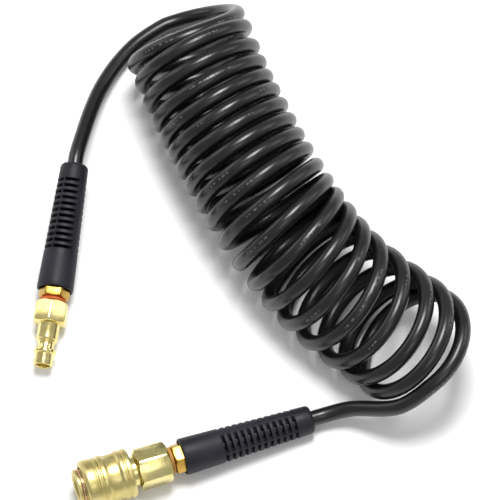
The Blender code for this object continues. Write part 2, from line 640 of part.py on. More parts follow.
def coupler_sleeve(axis):
    """Pull-back sleeve: front band, two grooves, waist and rear band, with the balls' ramp inside."""
    rim, back, bore = SLEEVE_RADIUS, SLEEVE_START, SLEEVE_BORE_RADIUS
    grip, waist = rim - 0.5, rim - 0.7
    front = back + 24.7
    outer = [(rim - 1.4, front), (rim - 0.4, front - 0.3), (rim, front - 1.1),
             (rim, front - 5.7), (grip, front - 6.0), (grip, front - 6.8), (rim, front - 7.1),
             (rim, front - 8.1), (grip, front - 8.4), (grip, front - 9.2), (rim, front - 9.5),
             (rim, front - 11.3), (waist, front - 12.1), (waist, back + 6.4), (rim, back + 5.6),
             (rim, back + 4.0), (rim - 0.45, back + 3.7), (rim - 0.45, back + 2.9),
             (rim, back + 2.6), (rim, back + 0.8), (rim - 0.5, back)]
    land, ramp = TUBE_RADIUS + RUNNING_GAP, TUBE_RADIUS + RUNNING_GAP + RAMP_DEPTH
    land_start = FRONT_START + BALL_PLACE - 2.0
    inner = [(bore, back), (bore, land_start), (land, land_start), (land, land_start + 2.9),
             (ramp, land_start + 5.1), (ramp, front)]
    turned("coupler_sleeve", outer, inner, SATIN_BRASS, axis)


def coupler_valve(axis):
    """Cup-shaped valve with side openings closed by its front, and the seal that it carries."""
    seat = FRONT_START + SEAT_START
    disc, nose = CHAMBER_RADIUS - RUNNING_GAP, SEAT_RADIUS - VALVE_NOSE_FIT
    back, front = seat - 4.1, seat + 2.4
    outer = [(nose - 0.3, front), (nose, front - 0.3), (nose, seat - 1.5), (disc, seat - 1.5),
             (disc, back + 0.3), (disc - 0.45, back)]
    inner = [(nose - 1.2, back), (nose - 1.2, seat - 2.0), (nose - 2.4, seat - 1.0),
             (nose - 2.4, front)]
    turned("coupler_valve", outer, inner, PALE_BRASS, axis)
    ring_bottom, ring_top = seat - 1.5 + GAP, seat - 0.4
    ring_outer = [(disc - 0.25, ring_top), (disc - 0.1, ring_top - 0.2), (disc - 0.1, ring_bottom)]
    turned("coupler_valve_seal", ring_outer, [(nose + GAP, ring_bottom), (nose + GAP, ring_top)],
           NITRILE, axis, FEW_STEPS)


def locking_balls(axis):
    """Steel balls, each in an empty turned so that its own +X points away from the axis."""
    for i in range(BALL_COUNT):
        holder = local_empty(f"ball_axis_{i + 1}", axis, (0, 0, (FRONT_START + BALL_PLACE) * MM))
        holder.rotation_euler = (0, 0, tau * (i + 0.5) / BALL_COUNT)
        mesh = bpy.data.meshes.new(f"locking_ball_{i + 1}")
        shape = bmesh.new()
        bmesh.ops.create_uvsphere(shape, u_segments=10, v_segments=6, radius=BALL_RADIUS * MM)
        shape.to_mesh(mesh)
        shape.free()
        mesh.shade_smooth()
        ball = add(f"locking_ball_{i + 1}", mesh, STEEL, holder)
        ball.location = ((TUBE_RADIUS - BALL_RADIUS) * MM, 0, 0)


def quick_coupler(axis):
    start = FRONT_START
    coupler_rear_body(axis)
    o_ring("coupler_body_seal", REAR_THREAD_RADIUS - 0.4, BODY_SEAL_WIRE,
           REAR_BODY_END + BODY_SEAL_WIRE + 0.15, NITRILE, axis)
    coupler_front_body(axis)
    coupler_sleeve(axis)
    compression_spring("coupler_sleeve_spring", SPRING_RADIUS, SLEEVE_SPRING_WIRE,
                       start + 2.0 + GAP, start + BALL_PLACE - 2.0 - GAP, SLEEVE_SPRING_TURNS, axis)
    o_ring("coupler_snap_ring", TUBE_RADIUS + SNAP_RING_WIRE - 0.1, SNAP_RING_WIRE,
           start + SNAP_RING_PLACE, COPPER, axis, around=24)
    o_ring("coupler_plug_seal", SOCKET_RADIUS - 0.15, PLUG_SEAL_WIRE,
           start + SEAT_START + SEAT_LENGTH + PLUG_SEAL_WIRE + 0.35, NITRILE, axis, around=24)
    coupler_valve(axis)
    compression_spring("coupler_valve_spring", SEAT_RADIUS - VALVE_NOSE_FIT, VALVE_SPRING_WIRE,
                       THREAD_END + 3 + GAP, start + SEAT_START - 4.1 - GAP, VALVE_SPRING_TURNS, axis)
    locking_balls(axis)


# ---- where the fittings rest ----
def plug_height():
    """The front of the lowest corner of the plug's hexagon rests on the floor, nose down."""
    corner, edge = hex_corner(PLUG_HEX), PLUG_HEX_END - 0.75
    return corner * cos(radians(PLUG_RISE)) - edge * sin(radians(PLUG_RISE)) + FLOOR_GAP


def coupler_height():
    """The sleeve's rear band rests on the floor, with the mouth up."""
    edge = SLEEVE_START + 0.8
    return SLEEVE_RADIUS * cos(radians(COUPLER_RISE)) - edge * sin(radians(COUPLER_RISE)) + FLOOR_GAP


def build():
    plug_axis = axis_empty("plug_axis", Vector((*PLUG_PLACE, plug_height())), PLUG_HEADING,
                           PLUG_RISE)
    coupler_axis = axis_empty("coupler_axis", Vector((*COUPLER_PLACE, coupler_height())),
                              COUPLER_HEADING, COUPLER_RISE)
    bpy.context.view_layer.update()
    hose(plug_axis, coupler_axis)
    hose_end_pieces("plug", plug_axis, PLUG_RIB_ROLL)
    plug_nipple(plug_axis)
    hose_end_pieces("coupler", coupler_axis, COUPLER_RIB_ROLL)
    quick_coupler(coupler_axis)


build()
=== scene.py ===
"""Coiled air hose with a brass quick plug and a brass quick coupler, on a pale studio floor.

Every fitting is modelled upright at the origin, with its axis on +Z and sizes in
millimetres, and then laid on its own axis beside its hose end. An outline is a closed list
of (radius, height) stations, and height 0 is just behind the fitting's swivel nut.
"""
from math import cos, floor, pi, radians, sin, sqrt, tau

import bpy
from mathutils import Matrix, Vector
from mathutils.kdtree import KDTree


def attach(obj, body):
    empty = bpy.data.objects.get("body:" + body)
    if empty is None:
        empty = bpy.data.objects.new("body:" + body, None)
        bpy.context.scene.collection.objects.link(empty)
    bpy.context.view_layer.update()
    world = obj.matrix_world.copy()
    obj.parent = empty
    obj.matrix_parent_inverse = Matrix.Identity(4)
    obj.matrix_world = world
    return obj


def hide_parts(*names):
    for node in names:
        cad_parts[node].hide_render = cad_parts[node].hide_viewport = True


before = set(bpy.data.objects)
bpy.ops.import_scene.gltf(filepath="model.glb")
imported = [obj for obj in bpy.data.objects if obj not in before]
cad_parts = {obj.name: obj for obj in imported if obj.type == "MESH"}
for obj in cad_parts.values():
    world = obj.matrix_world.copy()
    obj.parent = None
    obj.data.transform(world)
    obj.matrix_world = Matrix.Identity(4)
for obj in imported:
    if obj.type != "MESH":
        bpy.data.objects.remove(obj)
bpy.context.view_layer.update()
MM = 0.001

# ---- the hose's route, in millimetres, as the parts' source lays it ----
HOSE_RADIUS, COIL_RADIUS = 4.0, 30.0
SPINE_STEP = 3                 # turns from one point of the coil's middle to the next
SPINE = [(64.8, 175.9), (67.8, 137.9), (68.6, 102.6), (71.3, 73.8), (75.4, 43.7),
         (82.7, 10.8), (94.5, -21.3), (115.9, -56.2), (132.1, -80.5)]
FIRST_TURN, LAST_TURN = -0.25, 19.36
TURN_POINTS = 48
NUDGE = 0.05                   # of a turn either way, to find the way the coil's middle runs
# Lean and yaw of the turns in degrees, and the turns between which each share comes or goes
LEAN_PACKED, LEAN_FIRST, LEAN_LOOSE, LEAN_LAST = 14.0, 26.0, 31.3, 7.0
LEAN_FIRST_TURNS, LEAN_LOOSE_TURNS, LEAN_LAST_TURNS = (-0.4, 0.8), (8.5, 17.5), (18.6, 19.5)
YAW_PACKED, YAW_LOOSE, YAW_LAST = 5.0, 13.0, 7.7
YAW_LOOSE_TURNS, YAW_LAST_TURNS = (9, 15), (17.5, 19.3)
PLUG_PLACE, PLUG_HEADING, PLUG_RISE = Vector((-37.4, 31.1, 10.841)), 243.3, -5.0
COUPLER_PLACE, COUPLER_HEADING, COUPLER_RISE = Vector((-3.9, -79.3, 10.963)), 180.0, 3.33
PLUG_TAIL = [(2.4, 107.6, 14.5), (11.5, 121.6, 11.0), (20.8, 133.5, 8.0), (32.8, 144.8, 5.6),
             (47.0, 153.9, 4.3)]
COUPLER_TAIL = [(103.8, -94.2, 24.9), (81.4, -81.6, 10.2)]
ROUTE_SPACING = 3.0
HOSE_SIDES = 24
NO_LENGTH = 1e-6               # metres, below which a vector has no direction

# ---- bend restrictors ----
RESTRICTOR_LENGTH = 66.0
RESTRICTOR_TIP_RADIUS, RESTRICTOR_END_RADIUS = 7.2, 9.35
RESTRICTOR_CLEARANCE = 0.15    # round the hose
POCKET_DEPTH, POCKET_RADIUS = 17.0, 5.5        # over the ferrule
COVER_LENGTH, COVER_BORE_RADIUS = 2.6, 8.17    # over the swivel nut
TAPER_STEPS = 8
SLOT_ROWS, SLOT_PITCH, SLOT_WIDTH, FIRST_SLOT = 12, 3.391, 1.8, -56.1
SLOT_INNER_RADIUS, SLOT_OUTER_RADIUS = 3.0, 12.0
THIN_RIB, WIDE_RIB = 4.0, 38.0                 # degrees round the restrictor
RIB_RADIUS = 1.12 * RESTRICTOR_TIP_RADIUS      # where those degrees are measured
RIB_BAR_LENGTH = 30.0
PLUG_RIB_ROLL, COUPLER_RIB_ROLL = -61.0, 32.0

# Heights on a fitting's axis that the hose passes, from the barb to just beyond the restrictor
HOSE_INSIDE = [-5.3, -POCKET_DEPTH, -0.6 * RESTRICTOR_LENGTH, -RESTRICTOR_LENGTH,
               -RESTRICTOR_LENGTH - 6]

# ---- hexagons: across the flats, how far each is turned, and where it is milled ----
SWIVEL_HEX, PLUG_HEX, COUPLER_HEX = 14.0, 16.0, 19.0
SWIVEL_HEX_ROLL, PLUG_HEX_ROLL, COUPLER_HEX_ROLL = 0.0, 30.0, 28.0
SWIVEL_MILLING, PLUG_MILLING, COUPLER_MILLING = (0.0, 7.35), (9.5, 21.25), (9.5, 26.55)
CORNER_SHARE = 0.972           # how much of a hexagon's true corner radius the turning leaves
CHAMFER_RIM = 0.25             # from the flats in to the edge of the end face

# ---- what sits in and on the coupler's front body ----
BALL_COUNT, BALL_HEIGHT = 4, 49.5
BALL_HOLE_RADIUS, BALL_HOLE_DEPTH, BALL_HOLE_CIRCLE = 1.85, 5.0, 7.5
SNAP_RING_RADIUS, SNAP_RING_WIRE, SNAP_RING_HEIGHT = 8.98, 0.48, 55.5
SNAP_RING_GAP, SNAP_RING_GAP_ANGLE = (1.1, 4.0, 3.0), -120.0
PLUG_SEAL_RADIUS, PLUG_SEAL_WIRE, PLUG_SEAL_HEIGHT = 6.0, 0.75, 45.5

# ---- facets round a turned piece, and where its shading turns sharp, in degrees ----
ROUND, SLEEVE_ROUND, SLOT_ROUND, HOLE_ROUND = 96, 128, 64, 24
SMOOTH_ANGLE = 30
WELD = 0.0000005               # metres, within which the ends of an outline are joined

# ---- finishes: a metal has a clean and a tarnished colour, a roughness, and the depth of
# the tool rings; a rubber has its middle colour ----
PLUG_BRASS = (0.84, 0.74, 0.34), (0.72, 0.59, 0.22), 0.19, 0.12
COUPLER_BRASS = (0.80, 0.71, 0.33), (0.68, 0.57, 0.21), 0.22, 0.12
SATIN_BRASS = (0.66, 0.57, 0.25), (0.55, 0.45, 0.16), 0.36, 0.25
WARM_BRASS = (0.56, 0.35, 0.08), (0.42, 0.24, 0.045), 0.26, 0.12
COPPER = (0.86, 0.55, 0.38), (0.72, 0.40, 0.24), 0.22, 0.12
RESTRICTOR_RUBBER, NITRILE = (0.0095, 0.0100, 0.0150), (0.02, 0.02, 0.021)
ORANGE_WASHER, AMBER_WASHER = (0.40, 0.075, 0.014), (0.34, 0.17, 0.035)

# The faint broken line on the hose: its middle and half its width, in shares of the hose's
# radius, how strongly its colour shows, and how much rougher it is than the hose
LINE_SIDE, LINE_HALF_WIDTH, LINE_STRENGTH, LINE_ROUGHNESS = 0.12, 0.10, 0.13, 0.25
LINE_COLOUR = (0.55, 0.55, 0.53)

# ---- camera and lights, in metres and watts ----
CAMERA_AZIMUTH, CAMERA_ELEVATION, CAMERA_DISTANCE = -19.0, 65.0, 2.0
LOOK_AT = Vector((63.1, 18.2, 10.0)) * MM
VIEW_WIDTH = 0.2564            # across the view at the look-at point
SENSOR_WIDTH = 36
WORLD_STRENGTH = 0.45
AREA_LIGHTS = [                # name, place, width, height, power
    ("overhead_softbox", (0.20, 0.30, 1.4), 0.5, 0.55, 20),
    ("right_panel", (1.2, 0.05, 0.75), 0.7, 0.7, 2.6),
    ("back_left_panel", (-0.8, 1.1, 0.65), 0.7, 0.7, 2.6),
    ("front_panel", (0.1, -0.75, 1.05), 0.5, 0.5, 1.6)]
FLOOR_SIZE, FLOOR_DROP = 6, 0.0002


# ---------------------------------------------------------------- scene
def camera():
    data = bpy.data.cameras.new("camera")
    data.sensor_width = SENSOR_WIDTH
    data.lens = data.sensor_width * CAMERA_DISTANCE / VIEW_WIDTH
    data.clip_end = 20
    eye = bpy.data.objects.new("camera", data)
    bpy.context.scene.collection.objects.link(eye)
    a, e = radians(CAMERA_AZIMUTH), radians(CAMERA_ELEVATION)
    away = Vector((sin(a) * cos(e), -cos(a) * cos(e), sin(e)))
    eye.location = LOOK_AT + away * CAMERA_DISTANCE
    eye.rotation_euler = (-away).to_track_quat('-Z', 'Y').to_euler()
    bpy.context.scene.camera = eye


def area_light(name, place, width, height, power):
    data = bpy.data.lights.new(name, 'AREA')
    data.energy = power
    data.shape = 'RECTANGLE'
    data.size, data.size_y = width, height
    lamp = bpy.data.objects.new(name, data)
    bpy.context.scene.collection.objects.link(lamp)
    lamp.location = place
    lamp.rotation_euler = (LOOK_AT - Vector(place)).to_track_quat('-Z', 'Y').to_euler()


def studio():
    world = bpy.data.worlds.new("studio")
    bpy.context.scene.world = world
    world.use_nodes = True
    background = world.node_tree.nodes["Background"]
    background.inputs["Color"].default_value = (1, 1, 1, 1)
    background.inputs["Strength"].default_value = WORLD_STRENGTH
    for light in AREA_LIGHTS:
        area_light(*light)
    bpy.context.scene.view_settings.view_transform = 'Standard'


def deselect():
    bpy.ops.object.select_all(action='DESELECT')


def select_only(piece):
    deselect()
    piece.select_set(True)
    bpy.context.view_layer.objects.active = piece


def studio_floor():
    deselect()
    bpy.ops.mesh.primitive_plane_add(size=FLOOR_SIZE, location=(0, 0, -FLOOR_DROP))
    ground = bpy.context.object
    ground.name = "studio_floor"
    paper = new_material("studio_floor_paper", (0.93, 0.93, 0.93), roughness=0.9, metallic=0)
    bump(paper, noise(paper, scale=60, detail=3), strength=0.02, distance=0.0002)
    ground.data.materials.append(paper)


# ---------------------------------------------------------------- shader nodes
def new_material(name, colour, roughness, metallic):
    made = bpy.data.materials.new(name)
    made.use_nodes = True
    shader = shader_of(made)
    shader.inputs["Base Color"].default_value = (*colour, 1)
    shader.inputs["Roughness"].default_value = roughness
    shader.inputs["Metallic"].default_value = metallic
    return made


def shader_of(material):
    return material.node_tree.nodes["Principled BSDF"]


def node(material, kind, **settings):
    made = material.node_tree.nodes.new(kind)
    for key, value in settings.items():
        setattr(made, key, value)
    return made


def link(material, output, target):
    material.node_tree.links.new(output, target)


def object_coordinates(material):
    return node(material, "ShaderNodeTexCoord").outputs["Object"]


def axis_coordinates(material, axis, stretch):
    """Object coordinates, turned so that a fitting's axis is Z, and then stretched."""
    inverse = axis.inverted()
    turn = node(material, "ShaderNodeMapping", vector_type='POINT')
    turn.inputs["Location"].default_value = inverse.to_translation()
    turn.inputs["Rotation"].default_value = inverse.to_euler()
    link(material, object_coordinates(material), turn.inputs["Vector"])
    scaled = node(material, "ShaderNodeMapping", vector_type='POINT')
    scaled.inputs["Scale"].default_value = stretch
    link(material, turn.outputs["Vector"], scaled.inputs["Vector"])
    return scaled.outputs["Vector"]


def noise(material, scale, detail, place=None, roughness=0.5):
    made = node(material, "ShaderNodeTexNoise")
    made.inputs["Scale"].default_value = scale
    made.inputs["Detail"].default_value = detail
    made.inputs["Roughness"].default_value = roughness
    link(material, place or object_coordinates(material), made.inputs["Vector"])
    return made.outputs["Fac"]


def noise_along(material, position, scale, detail):
    """Noise that changes along one line only."""
    made = node(material, "ShaderNodeTexNoise", noise_dimensions='1D')
    made.inputs["Scale"].default_value = scale
    made.inputs["Detail"].default_value = detail
    link(material, position, made.inputs["W"])
    return made.outputs["Fac"]


def attribute(material, name):
    return node(material, "ShaderNodeAttribute", attribute_name=name).outputs["Fac"]


def ramp(material, source, *stops):
    """Colour that runs between two (position, colour) stops."""
    made = node(material, "ShaderNodeValToRGB")
    for element, (position, colour) in zip(made.color_ramp.elements, stops):
        element.position = position
        element.color = (*colour, 1)
    link(material, source, made.inputs["Fac"])
    return made.outputs["Color"]


def span(material, source, source_range, result_range):
    """Carries one range of a value over to another."""
    made = node(material, "ShaderNodeMapRange")
    for key, value in zip(("From Min", "From Max", "To Min", "To Max"),
                          (*source_range, *result_range)):
        made.inputs[key].default_value = value
    link(material, source, made.inputs["Value"])
    return made.outputs["Result"]


def calculate(material, operation, first, second):
    made = node(material, "ShaderNodeMath", operation=operation)
    for value, target in ((first, made.inputs[0]), (second, made.inputs[1])):
        if isinstance(value, (int, float)):
            target.default_value = value
        else:
            link(material, value, target)
    return made.outputs["Value"]


def mix_colour(material, factor, below, colour):
    """Lays a plain colour over another by a factor."""
    made = node(material, "ShaderNodeMix", data_type='RGBA')
    mix, first, second = made.inputs[0], made.inputs[6], made.inputs[7]
    link(material, factor, mix)
    link(material, below, first)
    second.default_value = (*colour, 1)
    return made.outputs[2]


def bump(material, height, strength, distance):
    made = node(material, "ShaderNodeBump")
    made.inputs["Strength"].default_value = strength
    made.inputs["Distance"].default_value = distance
    link(material, height, made.inputs["Height"])
    link(material, made.outputs["Normal"], shader_of(material).inputs["Normal"])


# ---------------------------------------------------------------- materials
def broken_line(skin):
    """Where the hose's faint line shows: short marks, in groups, on one side of the tube."""
    along = attribute(skin, "along")
    marks = calculate(skin, 'GREATER_THAN', noise_along(skin, along, scale=520, detail=1), 0.53)
    groups = calculate(skin, 'GREATER_THAN', noise_along(skin, along, scale=26, detail=0), 0.56)
    from_middle = calculate(skin, 'SUBTRACT', attribute(skin, "side"), LINE_SIDE)
    band = calculate(skin, 'LESS_THAN', calculate(skin, 'ABSOLUTE', from_middle, 0),
                     LINE_HALF_WIDTH)
    facing = calculate(skin, 'GREATER_THAN', attribute(skin, "outward"), 0.0)
    return calculate(skin, 'MULTIPLY', calculate(skin, 'MULTIPLY', marks, groups),
                     calculate(skin, 'MULTIPLY', band, facing))


def hose_material():
    """Black polyurethane: glossy, a little uneven, with a faint broken line along it."""
    skin = new_material("glossy_black_polyurethane", (0.008, 0.008, 0.009), roughness=0.28,
                        metallic=0)
    shader = shader_of(skin)
    shader.inputs["Specular IOR Level"].default_value = 0.5
    line = broken_line(skin)
    tone = ramp(skin, noise(skin, scale=90, detail=3),
                (0.35, (0.004, 0.004, 0.0044)), (0.7, (0.007, 0.007, 0.0074)))
    link(skin, mix_colour(skin, calculate(skin, 'MULTIPLY', line, LINE_STRENGTH), tone,
                          LINE_COLOUR),
         shader.inputs["Base Color"])
    rough = span(skin, noise(skin, scale=35, detail=4), (0.3, 0.7), (0.25, 0.34))
    link(skin, calculate(skin, 'ADD', rough, calculate(skin, 'MULTIPLY', line, LINE_ROUGHNESS)),
         shader.inputs["Roughness"])
    bump(skin, noise(skin, scale=900, detail=2), strength=0.03, distance=0.0001)
    return skin


def rubber_material(name, tint):
    """Moulded rubber: dull, with a fine grain and faint handling marks."""
    skin = new_material(name, tint, roughness=0.55, metallic=0)
    shader = shader_of(skin)
    shader.inputs["Specular IOR Level"].default_value = 0.3
    broad = noise(skin, scale=70, detail=4)
    dark, light = (tuple(c * share for c in tint) for share in (0.75, 1.7))
    link(skin, ramp(skin, broad, (0.35, dark), (0.72, light)), shader.inputs["Base Color"])
    link(skin, span(skin, broad, (0.3, 0.7), (0.46, 0.62)), shader.inputs["Roughness"])
    bump(skin, noise(skin, scale=2600, detail=3), strength=0.18, distance=0.0002)
    return skin


def brass_material(name, axis, finish):
    """Turned brass: fine tool rings round the axis, faint tarnish and small scratches."""
    clean, tarnished, roughness, ring_depth = finish
    metal = new_material(name, clean, roughness, metallic=1)
    shader = shader_of(metal)
    tarnish = noise(metal, scale=140, detail=5, roughness=0.6)
    link(metal, ramp(metal, tarnish, (0.30, tarnished), (0.62, clean)),
         shader.inputs["Base Color"])
    rings = noise(metal, scale=1, detail=3,
                  place=axis_coordinates(metal, axis, stretch=(120, 120, 5200)))
    scratches = noise(metal, scale=420, detail=4)
    blend = calculate(metal, 'ADD', calculate(metal, 'MULTIPLY', rings, 0.5),
                      calculate(metal, 'MULTIPLY', scratches, 0.5))
    link(metal, span(metal, blend, (0.35, 0.65), (roughness * 0.72, roughness * 1.45)),
         shader.inputs["Roughness"])
    bump(metal, rings, strength=ring_depth, distance=0.00008)
    return metal


def steel_material(name):
    """Bright steel with faint clouds."""
    metal = new_material(name, (0.60, 0.60, 0.60), roughness=0.25, metallic=1)
    shader = shader_of(metal)
    cloud = noise(metal, scale=500, detail=4)
    link(metal, ramp(metal, cloud, (0.3, (0.45, 0.45, 0.46)), (0.7, (0.66, 0.66, 0.66))),
         shader.inputs["Base Color"])
    link(metal, span(metal, cloud, (0.3, 0.7), (0.18, 0.38)), shader.inputs["Roughness"])
    bump(metal, cloud, strength=0.05, distance=0.0001)
    return metal


# ---------------------------------------------------------------- route of the hose
def ease(turns, turn):
    """0 before a stretch of turns, 1 after it, and a smooth step between."""
    start, end = turns
    t = min(max((turn - start) / (end - start), 0), 1)
    return t * t * (3 - 2 * t)


def lean(turn):
    return radians(LEAN_PACKED + LEAN_FIRST * (1 - ease(LEAN_FIRST_TURNS, turn))
                   + LEAN_LOOSE * ease(LEAN_LOOSE_TURNS, turn)
                   + LEAN_LAST * ease(LEAN_LAST_TURNS, turn))


def yaw(turn):
    return radians(YAW_PACKED + YAW_LOOSE * ease(YAW_LOOSE_TURNS, turn)
                   + YAW_LAST * ease(YAW_LAST_TURNS, turn))


def spine(turn):
    """Middle of the coil in plan, a smooth curve through the points of SPINE."""
    place = turn / SPINE_STEP + 1
    i = min(max(floor(place), 1), len(SPINE) - 3)
    t = place - i
    a, b, c, d = [Vector(p) for p in SPINE[i - 1:i + 3]]
    return 0.5 * (2 * b + (c - a) * t + (2 * a - 5 * b + 4 * c - d) * t ** 2
                  + (3 * b - a - 3 * c + d) * t ** 3)


def turn_plane(turn):
    """Middle of a turn, and the directions across it and up it."""
    middle = spine(turn)
    along = (spine(turn + NUDGE) - spine(turn - NUDGE)).normalized()
    along.rotate(Matrix.Rotation(yaw(turn), 2))
    tip = lean(turn)
    across = Vector((-along.y, along.x, 0))
    upwards = Vector((along.x * sin(tip), along.y * sin(tip), cos(tip)))
    height = COIL_RADIUS * cos(tip) + HOSE_RADIUS
    return Vector((middle.x, middle.y, height)), across, upwards


def coil_points():
    """Points of the helix, and the middle of the turn that each belongs to."""
    steps = round((LAST_TURN - FIRST_TURN) * TURN_POINTS)
    points, middles = [], []
    for i in range(steps + 1):
        turn = FIRST_TURN + (LAST_TURN - FIRST_TURN) * i / steps
        middle, across, upwards = turn_plane(turn)
        angle = tau * turn
        points.append(middle + COIL_RADIUS * (cos(angle) * across + sin(angle) * upwards))
        middles.append(middle)
    return points, middles


def smooth_route(points, spacing):
    """Points along a centripetal Catmull-Rom curve through the given ones."""
    points = [2 * points[0] - points[1], *points, 2 * points[-1] - points[-2]]
    route = []
    for a, b, c, d in zip(points, points[1:], points[2:], points[3:]):
        t1 = (b - a).length ** 0.5
        t2 = t1 + (c - b).length ** 0.5
        t3 = t2 + (d - c).length ** 0.5
        steps = max(1, round((c - b).length / spacing))
        for i in range(steps):
            t = t1 + (t2 - t1) * i / steps
            first = a.lerp(b, t / t1)
            second = b.lerp(c, (t - t1) / (t2 - t1))
            third = c.lerp(d, (t - t2) / (t3 - t2))
            route.append(first.lerp(second, t / t2).lerp(
                second.lerp(third, (t - t1) / (t3 - t1)), (t - t1) / (t2 - t1)))
    return route + [points[-2]]


def axis_matrix(place, heading, rise):
    """Lays a fitting on its axis: +Z along the heading and rise, +Y on its upper side."""
    heading, rise = radians(heading), radians(rise)
    way = Vector((cos(rise) * cos(heading), cos(rise) * sin(heading), sin(rise)))
    return Matrix.Translation(place * MM) @ way.to_track_quat('Z', 'Y').to_matrix().to_4x4()


PLUG_AXIS = axis_matrix(PLUG_PLACE, PLUG_HEADING, PLUG_RISE)
COUPLER_AXIS = axis_matrix(COUPLER_PLACE, COUPLER_HEADING, COUPLER_RISE)


def hose_end(axis):
    """Points of the route inside a bend restrictor, from the barb outwards."""
    return [(axis @ Vector((0, 0, height * MM))) / MM for height in HOSE_INSIDE]


def hose():
    """The whole hose as one tube, from barb to barb."""
    helix, middles = coil_points()
    plug_end = hose_end(PLUG_AXIS) + [Vector(p) for p in PLUG_TAIL]
    coupler_end = [Vector(p) for p in COUPLER_TAIL] + hose_end(COUPLER_AXIS)[::-1]
    route = [p * MM for p in smooth_route(plug_end + helix + coupler_end, ROUTE_SPACING)]
    curve = bpy.data.curves.new("air_hose", 'CURVE')
    curve.dimensions = '3D'
    curve.bevel_depth = HOSE_RADIUS * MM
    curve.bevel_resolution = HOSE_SIDES // 2 - 2
    curve.use_fill_caps = True
    spline = curve.splines.new('POLY')
    spline.points.add(len(route) - 1)
    for point, place in zip(spline.points, route):
        point.co = (*place, 1)
    piece = bpy.data.objects.new("air_hose", curve)
    bpy.context.scene.collection.objects.link(piece)
    select_only(piece)
    bpy.ops.object.convert(target='MESH')
    piece = bpy.context.object
    bpy.ops.object.shade_smooth()
    mark_broken_line(piece, route, [m * MM for m in middles])
    piece.data.materials.append(hose_material())
    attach(piece, "hose")
    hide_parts("hose_coil", "hose_tail_plug", "hose_tail_coupler")


def tree_of(points):
    tree = KDTree(len(points))
    for i, place in enumerate(points):
        tree.insert(place, i)
    tree.balance()
    return tree


def mark_broken_line(piece, route, middles):
    """Stores, at each vertex, how far along the hose it is and which way it faces on the tube."""
    mesh = piece.data
    distances = [0.0]
    for a, b in zip(route, route[1:]):
        distances.append(distances[-1] + (b - a).length)
    route_tree, middle_tree = tree_of(route), tree_of(middles)
    values = {"along": [], "side": [], "outward": []}
    for vertex in mesh.vertices:
        place, i, _ = route_tree.find(vertex.co)
        way = (route[min(i + 1, len(route) - 1)] - route[max(i - 1, 0)]).normalized()
        middle, _, _ = middle_tree.find(place)
        out = place - middle
        out -= way * out.dot(way)
        out = out.normalized() if out.length > NO_LENGTH else Vector((0, 0, 1))
        offset = vertex.co - place
        offset = offset.normalized() if offset.length > NO_LENGTH else out
        values["along"].append(distances[i])
        values["side"].append(offset.dot(out.cross(way)))
        values["outward"].append(offset.dot(out))
    for name, numbers in values.items():
        mesh.attributes.new(name, 'FLOAT', 'POINT').data.foreach_set("value", numbers)


# ---------------------------------------------------------------- turning and milling
def turned(name, outline, sides=ROUND):
    """Carries one circle round a closed outline of (radius, height) stations, by extruding it."""
    deselect()
    radius, height = outline[0]
    bpy.ops.mesh.primitive_circle_add(vertices=sides, radius=radius * MM,
                                      location=(0, 0, height * MM))
    piece = bpy.context.object
    piece.name = piece.data.name = name
    bpy.ops.object.mode_set(mode='EDIT')
    bpy.ops.mesh.select_all(action='SELECT')
    for (r0, z0), (r1, z1) in zip(outline, outline[1:] + outline[:1]):
        bpy.ops.mesh.extrude_region_move(
            TRANSFORM_OT_translate={"value": (0, 0, (z1 - z0) * MM)})
        if r1 != r0:
            bpy.ops.transform.resize(value=(r1 / r0, r1 / r0, 1), center_override=(0, 0, 0))
    bpy.ops.mesh.select_all(action='SELECT')
    bpy.ops.mesh.remove_doubles(threshold=WELD)
    bpy.ops.mesh.normals_make_consistent(inside=False)
    bpy.ops.object.mode_set(mode='OBJECT')
    bpy.ops.object.transform_apply(location=True, rotation=True, scale=True)
    return piece


def block(place, size, angle=0.0):
    """A plain box to cut with, turned by an angle in radians about its own upright axis."""
    deselect()
    bpy.ops.mesh.primitive_cube_add(size=1, location=Vector(place) * MM, rotation=(0, 0, angle))
    piece = bpy.context.object
    piece.scale = Vector(size) * MM
    bpy.ops.object.transform_apply(location=True, rotation=True, scale=True)
    return piece


def turn_round(piece, degrees):
    """Turns a piece's mesh anticlockwise about +Z. With no window, the operator's own turn
    is clockwise."""
    select_only(piece)
    bpy.ops.object.mode_set(mode='EDIT')
    bpy.ops.mesh.select_all(action='SELECT')
    bpy.ops.transform.rotate(value=radians(-degrees), orient_axis='Z', center_override=(0, 0, 0))
    bpy.ops.object.mode_set(mode='OBJECT')


def cut(piece, cutter):
    """Cuts a piece with another, which is then thrown away."""
    select_only(piece)
    boolean = piece.modifiers.new("cut", 'BOOLEAN')
    boolean.operation = 'DIFFERENCE'
    boolean.solver = 'EXACT'
    boolean.object = cutter
    bpy.ops.object.modifier_apply(modifier=boolean.name)
    bpy.data.objects.remove(cutter)


def mill_hexagon(piece, flats, heights, roll):
    """Mills six flats with a ring-shaped cutter that has a hexagonal hole."""
    bottom, top = heights
    corner, clear = flats / sqrt(3), flats
    ring = turned(piece.name + "_mill",
                  [(clear, top), (clear, bottom), (corner, bottom), (corner, top)], 6)
    turn_round(ring, 30 + roll)
    cut(piece, ring)


def round_edges(piece, width, segments=2, angle=28):
    """Breaks the sharp edges, and shades the rest smooth."""
    select_only(piece)
    bevel = piece.modifiers.new("broken_edges", 'BEVEL')
    bevel.width = width * MM
    bevel.segments = segments
    bevel.limit_method = 'ANGLE'
    bevel.angle_limit = radians(angle)
    bevel.use_clamp_overlap = True
    bevel.miter_outer = 'MITER_ARC'
    bpy.ops.object.modifier_apply(modifier=bevel.name)
    bpy.ops.object.shade_smooth_by_angle(angle=radians(SMOOTH_ANGLE))


